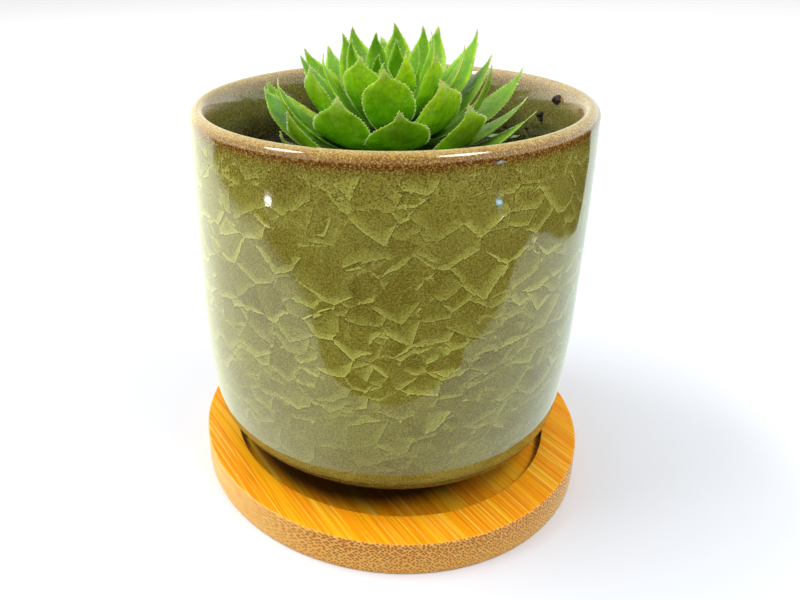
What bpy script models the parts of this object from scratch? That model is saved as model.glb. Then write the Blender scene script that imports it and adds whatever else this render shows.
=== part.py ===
"""Potted houseleek: a rosette of fleshy leaves in a crackle-glazed pot on a bamboo saucer.

Sizes are in metres and +Z is up. The origin is the middle of the saucer's underside.
"""
import math

import bmesh
import bpy
from mathutils import Matrix

MM = 0.001
GAP = 0.3 * MM                   # clearance between pieces that rest on each other
ROUND_STEPS = 48                 # sides of the turned pieces

# Saucer: a turned bamboo disc with a shallow recess
SAUCER_R = 40.3 * MM
SAUCER_H = 7.0 * MM
SAUCER_EDGE = 0.9 * MM           # rounding of the outer edges
RECESS_R = 33.4 * MM
RECESS_DEPTH = 2.6 * MM

# Pot: a cup with a rounded lip, a rounded base, a foot ring and a drain hole
POT_X = -0.9 * MM                # the pot stands against the far side of the recess
POT_Y = 3.1 * MM
POT_TOP = 76.8 * MM
POT_R = 38.45 * MM               # outer radius of the belly
NECK_R = 38.25 * MM              # outer radius just under the lip band
LIP_R = 38.55 * MM
LIP_WALL = 4.4 * MM
LIP_BAND = 3.6 * MM              # height of the thickened lip
WALL = 4.2 * MM
BELLY_Z = (52.0 * MM, 36.0 * MM)         # the side narrows a little below the belly
BELLY_IN = (0.0, 0.15 * MM)
SHOULDER_Z = 21.0 * MM           # where the side turns into the rounded base
SHOULDER_IN = 0.85 * MM
BASE_FLAT_Z = 6.4 * MM
BASE_FLAT_R = 26.0 * MM
FOOT_R = 25.0 * MM
FOOT_WIDTH = 3.5 * MM
FOOT_Z = SAUCER_H - RECESS_DEPTH + GAP
FOOT_TAPER = 0.3 * MM
UNDER_Z = 5.9 * MM               # underside inside the foot ring
FLOOR_TOP = 10.8 * MM
FLOOR_ROUND = 9.0 * MM
LIP_INSIDE = 9.0 * MM            # the wall thickens towards the lip from here up
DRAIN_R = 5.0 * MM

# Soil
SOIL_Z = 62.6 * MM               # mean level of its surface
SOIL_BUMP = 0.55 * MM
SOIL_SIDES = 36
SOIL_RINGS = 6
SOCKET_DEPTH = 24.0 * MM
OLD_LEAF_X = 22.2 * MM           # a dropped leaf lies behind and to the right of the rosette
OLD_LEAF_Y = 18.0 * MM
OLD_LEAF_Z = 64.0 * MM
OLD_LEAF_TURN = math.radians(-20)
OLD_LEAF_LENGTH = 7.5 * MM

# Rosette: crown, spiral and leaves
CROWN_X = POT_X + 0.25 * MM
CROWN_Y = POT_Y + 3.5 * MM
CROWN_Z = 66.0 * MM
LEAN_X = math.radians(9.7)       # the rosette leans forward and a little to the left
LEAN_Y = math.radians(-4.0)
LEAF_COUNT = 46
TURN_START = math.radians(31.6)
TURN_STEP = math.radians(-137.508)       # golden angle between one leaf and the next
LEAF_SIDES = 10
STATIONS = (0.0, 0.05, 0.20, 0.38, 0.55, 0.70, 0.82, 0.92, 1.0)    # rings along a leaf
WIDEST = 0.62                    # place of the greatest width along a leaf
CLAW = 0.42                      # width at the base against the greatest width
UPPER_SHARE = 0.55               # the upper face bulges less than the lower one
BOWL = math.radians(26)          # how far a leaf's ends turn out of its straight line
TIGHTEST = 2.2 * MM              # least radius that a blade wraps round
FLATTEN = 1.25                   # how much flatter than that circle a blade is
STEM_NECK_R = 3.4 * MM
STEM_NECK_Z = -2.2 * MM          # below the crown
STEM_SKIN = 0.35 * MM            # clearance between the stem and the leaf bases
STEM_ROOT_Z = -11.0 * MM         # below the crown
CROWN_BASE_R = (0.9 * MM, 4.8 * MM)      # where the innermost and outermost leaf start
CROWN_BASE_Z = (7.5 * MM, -1.4 * MM)

# From the innermost to the outermost leaf, in equal steps of the square root of the
# leaf's number: reach and height of the tip, half of the width, half of the thickness
TIP_REACH = (0.4, 2.0, 8.2, 15.4, 22.3, 29.5)
TIP_HEIGHT = (16.9, 18.7, 21.0, 20.5, 16.3, 11.0)
HALF_WIDTH = (0.6, 1.3, 2.8, 4.3, 5.25, 5.15)
HALF_THICK = (0.35, 0.42, 0.58, 0.76, 0.88, 0.86)

# Leaves that stand off the spiral: turn in degrees, reach and rise of the tip in millimetres
OFF_SPIRAL = {
    3: (4, 2.5, 1.0), 6: (10, 1.0, 1.0), 9: (7, -0.5, 0.5), 11: (3, 0.5, 1.5),
    13: (5, -0.5, -0.5), 18: (4, 0.0, -0.5), 19: (3, 0.5, -0.5), 22: (-2, 0.5, -0.5),
    27: (-3, 0.0, 0.0), 29: (3, -1.0, 0.0), 30: (-2, 0.5, 0.0), 32: (-4, -0.5, 0.0),
    33: (1, -0.5, -1.0), 35: (0, -1.0, -2.5), 37: (-3, 0.0, -1.0), 38: (0, -4.0, -3.5),
    40: (0, -0.5, -2.0), 44: (0, 0.0, -1.0), 45: (6, 0.5, 0.5),
}

COLOURS = {                      # base colour, roughness
    "bamboo": ((0.78, 0.42, 0.09), 0.5),
    "crackle_glaze": ((0.21, 0.20, 0.035), 0.12),
    "soil": ((0.035, 0.025, 0.018), 0.95),
    "stem": ((0.16, 0.13, 0.05), 0.8),
    "leaf": ((0.16, 0.38, 0.03), 0.42),
    "old_leaf": ((0.25, 0.36, 0.14), 0.7),
}


def clear_scene():
    """Remove whatever the file holds."""
    for obj in list(bpy.data.objects):
        bpy.data.objects.remove(obj, do_unlink=True)


def new_collection(name):
    """A collection under the scene's own."""
    collection = bpy.data.collections.new(name)
    bpy.context.scene.collection.children.link(collection)
    return collection


def material(name):
    """The named piece's plain material."""
    found = bpy.data.materials.get(name)
    if found:
        return found
    colour, roughness = COLOURS[name]
    made = bpy.data.materials.new(name)
    made.use_nodes = True
    shader = made.node_tree.nodes["Principled BSDF"]
    shader.inputs["Base Color"].default_value = (*colour, 1.0)
    shader.inputs["Roughness"].default_value = roughness
    return made


def add_object(bm, name, look, collection):
    """Put a finished bmesh into the collection as one named object."""
    mesh = bpy.data.meshes.new(name)
    bm.to_mesh(mesh)
    bm.free()
    mesh.shade_smooth()
    obj = bpy.data.objects.new(name, mesh)
    mesh.materials.append(material(look))
    collection.objects.link(obj)
    return obj


def turned(name, profile, look, collection, steps=ROUND_STEPS, closed=False):
    """Turn an (r, z) profile that runs down its outer side about the Z axis."""
    bm = bmesh.new()
    verts = [bm.verts.new((r, 0.0, z)) for r, z in profile]
    ends = verts[1:] + verts[:1] if closed else verts[1:]
    for a, b in zip(verts, ends):
        bm.edges.new((a, b))
    obj = add_object(bm, name, look, collection)
    screw = obj.modifiers.new("turn", "SCREW")
    screw.steps = steps
    screw.render_steps = steps
    screw.use_merge_vertices = True
    screw.merge_threshold = 0.00001
    screw.use_smooth_shade = True
    return obj


def arc(centre, radius, start, end, count):
    """Points of an arc in the (r, z) plane; angles in degrees from +r towards +z."""
    points = []
    for k in range(count + 1):
        angle = math.radians(start + (end - start) * k / count)
        points.append((centre[0] + radius * math.cos(angle), centre[1] + radius * math.sin(angle)))
    return points


def bezier(ends, handles, t):
    """Point of a cubic curve in a plane."""
    weights = ((1 - t) ** 3, 3 * t * (1 - t) ** 2, 3 * t * t * (1 - t), t ** 3)
    spots = (ends[0], handles[0], handles[1], ends[1])
    return tuple(sum(w * p[axis] for w, p in zip(weights, spots)) for axis in (0, 1))


def through(values, t):
    """Smooth curve through equally spaced values, with t from 0 to 1 along them."""
    last = len(values) - 1
    place = min(max(t * last, 0.0), last - 1e-9)
    k = int(place)
    f = place - k
    before, a, b, after = (values[min(max(k + n, 0), last)] for n in (-1, 0, 1, 2))
    return 0.5 * (2 * a + (b - before) * f + (2 * before - 5 * a + 4 * b - after) * f * f
                  + (3 * a - before - 3 * b + after) * f ** 3)


# Holder ---------------------------------------------------------------------------------

def build_saucer(collection):
    """A round disc with softened edges and a flat recess."""
    edge = SAUCER_EDGE
    floor = SAUCER_H - RECESS_DEPTH
    profile = [(0.0, floor), (RECESS_R, floor), (RECESS_R, SAUCER_H)]
    profile += arc((SAUCER_R - edge, SAUCER_H - edge), edge, 90, 0, 3)
    profile += arc((SAUCER_R - edge, edge), edge, 0, -90, 3)
    profile += [(0.0, 0.0)]
    turned("bamboo_saucer", profile, "bamboo", collection)


def pot_outside():
    """The pot's outer side, from the top of the lip down to the foot."""
    half = LIP_WALL / 2
    lip = arc((LIP_R - half, POT_TOP - half), half, 90, 0, 4)
    side = [(NECK_R, POT_TOP - LIP_BAND)]
    side += [(POT_R - inwards, z) for inwards, z in zip(BELLY_IN, BELLY_Z)]
    shoulder = (POT_R - SHOULDER_IN, SHOULDER_Z)
    base = (BASE_FLAT_R, BASE_FLAT_Z)
    handles = ((shoulder[0] - 0.2 * MM, SHOULDER_Z - 8.0 * MM),
               (BASE_FLAT_R + 6.4 * MM, BASE_FLAT_Z + 0.5 * MM))
    rounded = [bezier((shoulder, base), handles, k / 6) for k in range(7)]
    foot = [(FOOT_R + FOOT_TAPER, BASE_FLAT_Z - FOOT_TAPER), (FOOT_R, FOOT_Z)]
    return lip + side + rounded + foot


def pot_inside():
    """The inner side, from the drain hole up to the top of the lip."""
    inner = POT_R - WALL
    corner = arc((inner - FLOOR_ROUND, FLOOR_TOP + FLOOR_ROUND), FLOOR_ROUND, -90, 0, 4)
    half = LIP_WALL / 2
    lip = arc((LIP_R - half, POT_TOP - half), half, 180, 90, 3)
    return [(DRAIN_R, FLOOR_TOP)] + corner + [(inner, POT_TOP - LIP_INSIDE)] + lip[:-1]


def build_pot(collection):
    """One turned shell, open at the top and at the drain hole."""
    foot_inner = FOOT_R - FOOT_WIDTH
    under = [(foot_inner, FOOT_Z), (foot_inner - FOOT_TAPER, UNDER_Z), (DRAIN_R, UNDER_Z)]
    profile = pot_outside() + under + pot_inside()
    pot = turned("pot", profile, "crackle_glaze", collection, closed=True)
    pot.location = (POT_X, POT_Y, 0.0)


# Soil and rosette -----------------------------------------------------------------------

def soil_height(x, y):
    """Height of the uneven surface of the soil over a point, from the pot's axis."""
    wave = (math.sin(x / (4.1 * MM) + 1.0) * math.cos(y / (5.3 * MM))
            + 0.6 * math.sin((x + y) / (2.9 * MM)))
    return SOIL_Z + SOIL_BUMP * wave


def build_soil(collection, cutters, crown):
    """The fill of the pot, a hair clear of its wall, with a socket for the stem's root."""
    side = POT_R - WALL - GAP
    bottom = FLOOR_TOP + GAP
    profile = [(side * k / SOIL_RINGS, SOIL_Z) for k in range(SOIL_RINGS + 1)]
    profile += arc((side - FLOOR_ROUND, bottom + FLOOR_ROUND), FLOOR_ROUND, 0, -90, 4)
    profile += [(0.0, bottom)]
    bm = bmesh.new()
    verts = [bm.verts.new((r, 0.0, z)) for r, z in profile]
    edges = [bm.edges.new(pair) for pair in zip(verts, verts[1:])]
    bmesh.ops.spin(bm, geom=verts + edges, cent=(0, 0, 0), axis=(0, 0, 1), angle=math.tau,
                   steps=SOIL_SIDES, use_merge=True)
    bmesh.ops.remove_doubles(bm, verts=bm.verts, dist=0.01 * MM)
    bmesh.ops.recalc_face_normals(bm, faces=bm.faces)
    for vert in bm.verts:
        if vert.co.z > SOIL_Z - 0.01 * MM:
            vert.co.z = soil_height(vert.co.x, vert.co.y)
    soil = add_object(bm, "potting_soil", "soil", collection)
    soil.location = (POT_X, POT_Y, 0.0)

    bm = bmesh.new()
    radius = STEM_NECK_R + GAP
    centre = (0.0, 0.0, STEM_ROOT_Z - GAP + SOCKET_DEPTH / 2)
    bmesh.ops.create_cone(bm, cap_ends=True, segments=ROUND_STEPS // 2, radius1=radius,
                          radius2=radius, depth=SOCKET_DEPTH, matrix=Matrix.Translation(centre))
    socket = add_object(bm, "root_socket", "soil", cutters)
    socket.parent = crown
    socket.hide_render = True
    socket.display_type = "WIRE"
    cut = soil.modifiers.new("root_socket", "BOOLEAN")
    cut.operation = "DIFFERENCE"
    cut.object = socket


def leaf_start(share):
    """Where a leaf leaves the stem: its radius and height, from 0, innermost, to 1."""
    inner_r, outer_r = CROWN_BASE_R
    inner_z, outer_z = CROWN_BASE_Z
    return (inner_r + (outer_r - inner_r) * share ** 0.6,
            inner_z + (outer_z - inner_z) * share ** 0.8)


def build_stem(collection, crown):
    """The short crown that the leaves sit round, and its root in the soil."""
    skin = [leaf_start(k / 7) for k in range(8)]
    top = [(0.0, skin[0][1] + 0.2 * MM)]
    sides = [(r - STEM_SKIN, z) for r, z in skin]
    neck = [(STEM_NECK_R, STEM_NECK_Z), (STEM_NECK_R, STEM_ROOT_Z + 1.0 * MM)]
    profile = top + sides + neck + [(STEM_NECK_R * 0.6, STEM_ROOT_Z), (0.0, STEM_ROOT_Z)]
    stem = turned("stem", profile, "stem", collection, steps=20)
    stem.parent = crown


def leaf_width(s):
    """Share of the half width at a place along the leaf: a narrow claw, a broad blade, a point."""
    if s < WIDEST:
        return CLAW + (1.0 - CLAW) * math.sin(math.pi / 2 * s / WIDEST) ** 1.6
    return 1.0 - ((s - WIDEST) / (1.0 - WIDEST)) ** 1.9


def leaf_thickness(s):
    """Share of the half thickness at a place along the leaf."""
    return (0.75 + 0.25 * math.sin(math.pi * min(1.0, s / 0.9))) * (1.0 - s ** 4) ** 0.8


def leaf_form(number):
    """Middle line and size of one leaf: ends, handles, half width and half thickness."""
    share = number / (LEAF_COUNT - 1)
    age = math.sqrt(share)
    turn, reach, rise = OFF_SPIRAL.get(number, (0.0, 0.0, 0.0))
    start = leaf_start(share)
    tip = ((through(TIP_REACH, age) + reach) * MM, (through(TIP_HEIGHT, age) + rise) * MM)
    length = math.dist(start, tip)
    slope = math.atan2(tip[1] - start[1], tip[0] - start[0])
    low, steep = slope - BOWL, slope + BOWL
    handles = ((start[0] + 0.38 * length * math.cos(low), start[1] + 0.38 * length * math.sin(low)),
               (tip[0] - 0.36 * length * math.cos(steep), tip[1] - 0.36 * length * math.sin(steep)))
    azimuth = TURN_START + number * TURN_STEP + math.radians(turn)
    return {"ends": (start, tip), "handles": handles, "azimuth": azimuth,
            "width": through(HALF_WIDTH, age) * MM, "thick": through(HALF_THICK, age) * MM}


def leaf_point(form, s, round_angle):
    """A point of the leaf's skin, s along it and round_angle round its section."""
    r, z = bezier(form["ends"], form["handles"], s)
    ahead = bezier(form["ends"], form["handles"], min(s + 0.01, 1.0))
    behind = bezier(form["ends"], form["handles"], max(s - 0.01, 0.0))
    along = math.atan2(ahead[1] - behind[1], ahead[0] - behind[0])
    rise = math.sin(round_angle) * form["thick"] * leaf_thickness(s)
    if rise > 0.0:
        rise *= UPPER_SHARE
    across = math.cos(round_angle) * form["width"] * leaf_width(s)
    r -= rise * math.sin(along)
    z += rise * math.cos(along)
    bend = max(r, TIGHTEST) * FLATTEN         # the blade wraps round the rosette's axis
    angle = across / bend
    return (r - bend * (1.0 - math.cos(angle)), bend * math.sin(angle), z)


def leaf_mesh(form):
    """A sphere drawn out into a leaf: its poles become the base and the tip."""
    bm = bmesh.new()
    rings = len(STATIONS) - 1
    bmesh.ops.create_uvsphere(bm, u_segments=LEAF_SIDES, v_segments=rings, radius=1.0)
    for vert in bm.verts:
        ring = round(math.acos(max(-1.0, min(1.0, -vert.co.z))) / math.pi * rings)
        s = STATIONS[ring]
        if ring in (0, rings):
            r, z = form["ends"][ring == rings]
            vert.co = (r, 0.0, z)
        else:
            vert.co = leaf_point(form, s, math.atan2(vert.co.y, vert.co.x))
    return bm


def build_leaves(collection, crown):
    """Every leaf of the rosette, from the bud outwards."""
    for number in range(LEAF_COUNT):
        form = leaf_form(number)
        leaf = add_object(leaf_mesh(form), f"leaf_{number + 1:02d}", "leaf", collection)
        leaf.parent = crown
        leaf.rotation_euler = (0.0, 0.0, form["azimuth"])


def build_old_leaf(collection):
    """A dropped leaf that lies on the soil."""
    length = OLD_LEAF_LENGTH
    form = {"ends": ((0.0, 0.0), (length, 0.6 * MM)), "width": 2.0 * MM, "thick": 0.45 * MM,
            "handles": ((0.3 * length, 0.0), (0.7 * length, 0.0))}
    leaf = add_object(leaf_mesh(form), "old_leaf", "old_leaf", collection)
    leaf.location = (POT_X + OLD_LEAF_X, POT_Y + OLD_LEAF_Y, OLD_LEAF_Z)
    leaf.rotation_euler = (0.0, 0.0, OLD_LEAF_TURN)


def main():
    """Build the whole plant with its holder."""
    clear_scene()
    houseleek = new_collection("potted_houseleek")
    cutters = new_collection("cutters")
    crown = bpy.data.objects.new("crown", None)
    crown.location = (CROWN_X, CROWN_Y, CROWN_Z)
    crown.rotation_euler = (LEAN_X, LEAN_Y, 0.0)
    houseleek.objects.link(crown)
    build_saucer(houseleek)
    build_pot(houseleek)
    build_soil(houseleek, cutters, crown)
    build_stem(houseleek, crown)
    build_leaves(houseleek, crown)
    build_old_leaf(houseleek)


main()
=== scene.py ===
"""Potted houseleek: the finish of its leaves, glazed pot, soil and bamboo saucer.

Run as a script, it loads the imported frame, builds each visible piece round it and sets up
a small studio. Sizes are in metres and +Z is up.
"""

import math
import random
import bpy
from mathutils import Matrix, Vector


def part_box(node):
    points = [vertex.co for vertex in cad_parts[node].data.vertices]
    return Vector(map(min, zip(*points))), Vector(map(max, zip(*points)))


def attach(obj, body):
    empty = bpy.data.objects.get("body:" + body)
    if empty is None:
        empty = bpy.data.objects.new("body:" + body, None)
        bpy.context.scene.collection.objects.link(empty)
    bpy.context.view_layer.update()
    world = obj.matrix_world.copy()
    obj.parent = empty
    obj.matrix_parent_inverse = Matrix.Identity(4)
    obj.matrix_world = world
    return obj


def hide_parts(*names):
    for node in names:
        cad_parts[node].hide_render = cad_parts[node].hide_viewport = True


bl_info = {
    "name": "Potted Houseleek",
    "version": (1, 0, 0),
    "blender": (4, 5, 0),
    "location": "3D View > Sidebar > Houseleek",
    "description": "A houseleek in a crackle-glazed pot on a bamboo saucer",
    "category": "Object",
}

import bmesh
import bpy
from bpy.props import FloatProperty, FloatVectorProperty, IntProperty, PointerProperty
from bpy.types import Operator, Panel, PropertyGroup
from mathutils import Euler, Matrix, Vector, noise

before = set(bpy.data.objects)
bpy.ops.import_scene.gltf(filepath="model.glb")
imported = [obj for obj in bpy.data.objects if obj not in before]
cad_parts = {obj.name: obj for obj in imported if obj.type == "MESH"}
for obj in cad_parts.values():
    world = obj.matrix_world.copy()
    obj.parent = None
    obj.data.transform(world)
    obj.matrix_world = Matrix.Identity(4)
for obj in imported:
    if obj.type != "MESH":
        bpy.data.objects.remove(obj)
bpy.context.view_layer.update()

MM = 0.001

# Places and sizes that the frame gives
SAUCER_LOW, SAUCER_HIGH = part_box("bamboo_saucer")
POT_LOW, POT_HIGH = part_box("pot")
SOIL_LOW, SOIL_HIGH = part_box("potting_soil")
SAUCER_R = (SAUCER_HIGH[0] - SAUCER_LOW[0]) / 2
SAUCER_H = SAUCER_HIGH[2]
POT_X = (POT_LOW[0] + POT_HIGH[0]) / 2
POT_Y = (POT_LOW[1] + POT_HIGH[1]) / 2
POT_TOP = POT_HIGH[2]
FOOT_Z = POT_LOW[2]
LIP_R = (POT_HIGH[0] - POT_LOW[0]) / 2
SOIL_R = (SOIL_HIGH[0] - SOIL_LOW[0]) / 2

# Saucer and pot, beyond what their boxes give
SAUCER_EDGE = 0.4 * MM
RECESS_R = 33.4 * MM
RECESS_DEPTH = 2.6 * MM
# centre of the painted shadow on the recess floor under the pot
POT_SHADOW_PLACE = (-4.0 * MM, -1.0 * MM, 0.0)
POT_R = LIP_R - 0.1 * MM
NECK_R = LIP_R + 0.05 * MM
NECK_SWELL = 0.08 * MM
GROOVE_R = LIP_R - 0.02 * MM
LIP_FLARE = 9.0 * MM
LIP_BEAD = 1.7 * MM
LIP_FOOT = 2.7 * MM
WALL = 4.75 * MM
FILL_R = min(SOIL_R, POT_R - WALL)
TAPER_Z = 42.0 * MM
CORNER_Z = 16.1 * MM
CORNER_IN = 1.4 * MM
CORNER_LEAN = 8.0        # degrees that the wall leans where the corner starts
CORNER_R = 8.2 * MM
FOOT_R = 25.0 * MM
FOOT_WIDTH = 3.5 * MM
UNDER_Z = 8.2 * MM
FLOOR_TOP = 12.8 * MM
FLOOR_ROUND = 9.0 * MM
DRAIN_R = 5.0 * MM
SOIL_Z = 62.6 * MM
CRUMB_SEED = 11
WALL_CRUMBS = (          # degrees round the wall, depth below the lip and size in millimetres
    (13, 2.2, 0.95), (11.6, 2.6, 0.65), (14.4, 2.9, 0.6), (12.4, 3.3, 0.4), (20, 6.6, 0.95),
    (19, 7.4, 0.6), (27, 10.6, 0.5), (33, 11.2, 0.6), (38, 11.5, 0.55))

# Rosette: the crown and spiral of the frame's own leaves, with finer sizes and offsets
CROWN = Vector((POT_X + 0.25 * MM, POT_Y + 3.5 * MM, 66.0 * MM))
CROWN_LEAN = (math.radians(9.7), math.radians(-4.0), 0.0)
LEAF_COUNT = 46
TURN_START = math.radians(31.6)
TURN_STEP = math.radians(-137.508)
LEAF_OUTLINE = (0.42, 0.46, 0.52, 0.59, 0.67, 0.75, 0.83, 0.90, 0.95, 0.98, 1.0, 0.99,
                0.95, 0.89, 0.80, 0.68, 0.54, 0.37, 0.20, 0.10, 0.0)
BROAD_OUTLINE = (0.42, 0.44, 0.48, 0.54, 0.61, 0.69, 0.77, 0.84, 0.90, 0.95, 0.98, 1.0,
                 1.0, 0.99, 0.96, 0.90, 0.80, 0.61, 0.26, 0.11, 0.0)
FULL_OUTLINE = (0.50, 0.60, 0.70, 0.79, 0.87, 0.93, 0.97, 0.99, 1.0, 1.0, 0.99, 0.98,
                0.96, 0.93, 0.88, 0.81, 0.70, 0.53, 0.25, 0.11, 0.0)
UPPER_SHARE = 0.55
BOWL = math.radians(26)
DEEP_BOWL = math.radians(17)
DEEP = (17, 19, 22, 24, 25, 30, 32, 33, 38, 41)
TIGHTEST = 2.2 * MM
FLATTEN = 1.25
HOOK_START = 0.84        # share of the leaf before its curled tip, which is the rest
HOOK_LENGTH = 0.16
SWEEP_PEAK = 6.75        # makes the sideways bend reach its full size at a third of the leaf
HAIR_R = 0.15 * MM
SKIN_WOBBLE = 0.12 * MM
LEAF_SEED = 5
HABIT_SEED = 40          # one more for each leaf
NOISE_SEED = 1
CROWN_BASE_R = (0.9 * MM, 4.8 * MM)
CROWN_BASE_Z = (7.5 * MM, -1.4 * MM)
TIP_REACH = (0.4, 2.0, 8.2, 15.4, 22.3, 29.5)
TIP_HEIGHT = (16.9, 18.7, 21.0, 20.5, 16.3, 11.0)
HALF_WIDTH = (0.6, 1.35, 2.9, 4.55, 5.65, 5.5)
HALF_THICK = (0.35, 0.42, 0.58, 0.76, 0.88, 0.86)
OFF_SPIRAL = {       # turn in degrees, reach and rise of the tip in millimetres
    3: (4.6, 3.2, 1.7), 6: (11.0, 1.2, 1.3), 7: (-1.4, -0.7, 0.6), 8: (0.2, 0.7, 1.4),
    9: (7.1, -0.6, 0.9), 10: (1.5, -0.1, -0.7), 11: (1.2, 0.3, -0.3), 12: (0.2, -0.6, -0.5),
    13: (4.7, -0.3, 0.1), 14: (3.2, -0.1, 0.4), 15: (-4.9, -0.8, -0.1), 17: (-0.5, -0.2, 1.0),
    18: (2.0, 0.2, 0.2), 19: (5.3, 0.9, -0.7), 20: (-0.4, -0.4, -0.6), 21: (-3.9, 1.7, 1.4),
    22: (-2.2, 0.6, -0.5), 23: (-0.1, 0.2, 1.2), 24: (3.1, 1.0, 0.8), 25: (-0.9, 0.7, 0.4),
    26: (-0.6, 0.3, 1.2), 27: (-3.1, 0.2, -0.8), 28: (-2.4, -0.2, 0.7), 29: (4.2, -1.3, 0.4),
    30: (-3.5, 0.8, -0.1), 32: (-3.4, -0.5, 0.2), 33: (1.4, -0.1, -0.8), 34: (2.3, -0.1, 0.7),
    35: (0, -1.0, -2.5), 36: (-3.4, 0.0, 1.0), 37: (-3.0, 0.4, -1.2), 38: (0, -4.0, -3.5),
    40: (0, -0.5, -2.0), 42: (-1.8, 0.4, 0.0), 44: (0, 0.0, -1.0), 45: (6.1, 0.2, 0.9),
}
BROAD = (9, 14, 27)                  # leaves with a rounder end
FULL = (11, 17, 19, 22, 25, 32, 33)  # leaves that stay wide down to their base
SWEEP = {11: 2.2, 14: 0.9, 19: 1.0, 22: -2.9, 25: 1.2, 30: -1.5, 32: 2.3}   # sideways, in mm
WIDTH_SHARE = {3: 0.8, 5: 0.8, 8: 0.8, 9: 1.35, 10: 0.78, 11: 1.2, 12: 0.75, 13: 0.85,
               14: 1.12, 15: 0.8, 17: 1.2, 18: 0.85, 19: 1.25, 20: 0.85, 21: 0.85, 22: 1.3,
               23: 0.85, 24: 0.85, 25: 1.3, 26: 0.85, 27: 1.04, 28: 0.85, 29: 0.72, 32: 1.25,
               33: 1.3, 34: 0.62, 36: 0.8, 37: 0.72, 38: 1.1, 39: 0.8, 41: 1.1, 42: 0.68,
               45: 0.8}
DUSTY = (24, 29, 34, 37, 42, 45)     # leaves with a grey bloom
# tone of some leaves, set leaf by leaf: partly their own colour, partly painted light and shade
LEAF_TONE_AND_SHADE = {1: 0.3, 2: 0.12, 5: 0.12, 6: 0.85, 9: 0.45, 10: 0.12, 11: 0.8, 12: 0.5, 14: 0.62,
             15: 0.8, 16: 0.9, 17: 0.25, 18: 0.5, 19: 0.75, 22: 0.15, 27: 0.2, 31: 0.12, 32: 0.3}
STEM_NECK_R = 3.4 * MM
STEM_NECK_Z = -2.2 * MM
STEM_SKIN = 0.35 * MM
STEM_ROOT_Z = -11.0 * MM
OLD_LEAF_PLACE = Vector((POT_X + 22.2 * MM, POT_Y + 18.0 * MM, 64.0 * MM))
OLD_LEAF_TURN = math.radians(-20)
OLD_LEAF_LENGTH = 7.5 * MM


def tint(red, green, blue):
    """Linear colour of a display colour given as 0 to 255."""
    def linear(value):
        share = value / 255
        return share / 12.92 if share <= 0.04045 else ((share + 0.055) / 1.055) ** 2.4
    return linear(red), linear(green), linear(blue)


# Settings -------------------------------------------------

def colour_setting(name, description, default):
    """A colour that the sidebar shows as a swatch."""
    return FloatVectorProperty(name=name, description=description, default=default,
                               subtype="COLOR", size=3, min=0.0, max=1.0)


def length_setting(name, description, default, low=0.0):
    """A length in metres that the sidebar shows in the scene's unit."""
    return FloatProperty(name=name, description=description, default=default, min=low,
                         unit="LENGTH")


def count_setting(name, description, default, low):
    """A whole number with a lowest value."""
    return IntProperty(name=name, description=description, default=default, min=low)


class HouseleekPotSettings(PropertyGroup):
    """Glaze of the pot."""

    glaze: colour_setting("Glaze", "Colour of the glaze between the cracks", tint(137, 131, 46))
    crack: colour_setting("Crackle", "Colour along the lit edges of the crackle",
                          tint(212, 216, 106))
    lip: colour_setting("Lip", "Colour of the speckled band round the lip", tint(150, 106, 48))
    crackle_size: length_setting("Crackle size", "Width of one flake", 6.1 * MM, 1.0 * MM)
    wobble: length_setting("Hand-made wobble", "How far the wall strays", 0.1 * MM)
    segments: count_setting("Segments", "Sides of the turned shell", 168, 24)


class HouseleekLeafSettings(PropertyGroup):
    """Colours and hairs of the rosette."""

    blade: colour_setting("Blade", "Main colour of a leaf", tint(166, 220, 8))
    young: colour_setting("Young leaf", "Colour of the bud and the lit tips",
                          tint(192, 232, 48))
    hair_length: length_setting("Hair length", "Length of the margin's hairs", 0.5 * MM)
    hair_gap: length_setting("Hair spacing", "Distance from hair to hair", 0.5 * MM, 0.1 * MM)
    rings: count_setting("Rings", "Rings along a leaf", 26, 8)
    sides: count_setting("Sides", "Sides round a leaf", 20, 8)


class HouseleekSoilSettings(PropertyGroup):
    """Soil and its crumbs."""

    earth: colour_setting("Soil", "Colour of damp soil", tint(52, 40, 30))
    crumbs: count_setting("Crumbs", "Loose crumbs on the soil", 420, 0)
    roughness: length_setting("Unevenness", "Height of the soil's lumps", 0.8 * MM)


class HouseleekSaucerSettings(PropertyGroup):
    """Bamboo of the saucer."""

    wood: colour_setting("Bamboo", "Main colour of the oiled face", tint(255, 162, 8))
    fibre: FloatProperty(name="Fibre direction", description="Turn of the fibres about +Z",
                         default=math.radians(-56), subtype="ANGLE")
    segments: count_setting("Segments", "Sides of the turned disc", 168, 24)


class HouseleekStageSettings(PropertyGroup):
    """Floor, lamps and camera."""

    floor: colour_setting("Floor", "Colour of the table", tint(231, 234, 241))
    sky: FloatProperty(name="Sky", description="Strength of the soft light from all round",
                       default=0.66, min=0.0)
    lens: FloatProperty(name="Lens", description="Focal length on a 36 mm sensor",
                        default=32.26, min=1.0)


# Node helpers ---------------------------------------------

def arithmetic(operation, swapped=False):
    """A Python operator that adds a math node."""
    def apply(self, other=0.0):
        pair = (other, self) if swapped else (self, other)
        return self.graph.math(operation, *pair)
    return apply


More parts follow.
